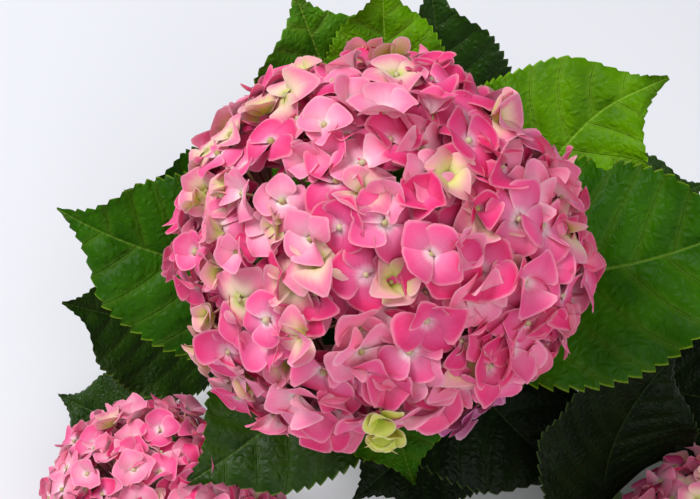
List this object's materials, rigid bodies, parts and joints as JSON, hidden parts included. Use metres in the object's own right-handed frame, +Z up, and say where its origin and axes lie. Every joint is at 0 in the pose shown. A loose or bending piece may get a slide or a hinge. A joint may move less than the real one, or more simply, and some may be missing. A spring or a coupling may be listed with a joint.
{
  "type": "cut hydrangea branch",
  "caption": "Cut branch of a garden hydrangea, lying down: round pink flower heads and broad toothed leaves on green shoots that fork from an old woody stem.",
  "frame": {"origin": "middle of the branch's footprint, on the level surface that it lies on", "axes": "+Z up, -Y the way the flower heads face, +Y towards the cut end of the stem, +X to the right of someone who looks at the heads from the front"},
  "size_m": [0.3966, 0.3458, 0.2991],
  "materials": {
    "petals": "soft satin petals, pink at the rim and nearly white at the heart",
    "leaves": "smooth, slightly glossy dark green with paler veins, and a paler matt underside",
    "green_shoots": "smooth green bark with small darker specks",
    "old_stem": "dull peeling brown bark, pale wood at the cut end"
  },
  "bodies": {
    "root": {"head_left": "petals", "head_middle": "petals", "head_right": "petals", "leaf_left_1": "leaves", "leaf_left_2": "leaves", "leaf_left_3": "leaves", "leaf_middle_1": "leaves", "leaf_middle_2": "leaves", "leaf_middle_3": "leaves", "leaf_middle_4": "leaves", "leaf_middle_5": "leaves", "leaf_middle_6": "leaves", "leaf_middle_7": "leaves", "leaf_middle_8": "leaves", "leaf_right_1": "leaves", "leaf_right_2": "leaves", "leaf_right_3": "leaves", "leaf_right_4": "leaves", "leaf_right_5": "leaves", "leaf_stem_1": "leaves", "leaf_stem_2": "leaves", "leaf_stem_3": "leaves", "shoot_left": "green_shoots", "shoot_middle": "green_shoots", "shoot_right": "green_shoots", "stem": "old_stem"}
  },
  "joints": []
}
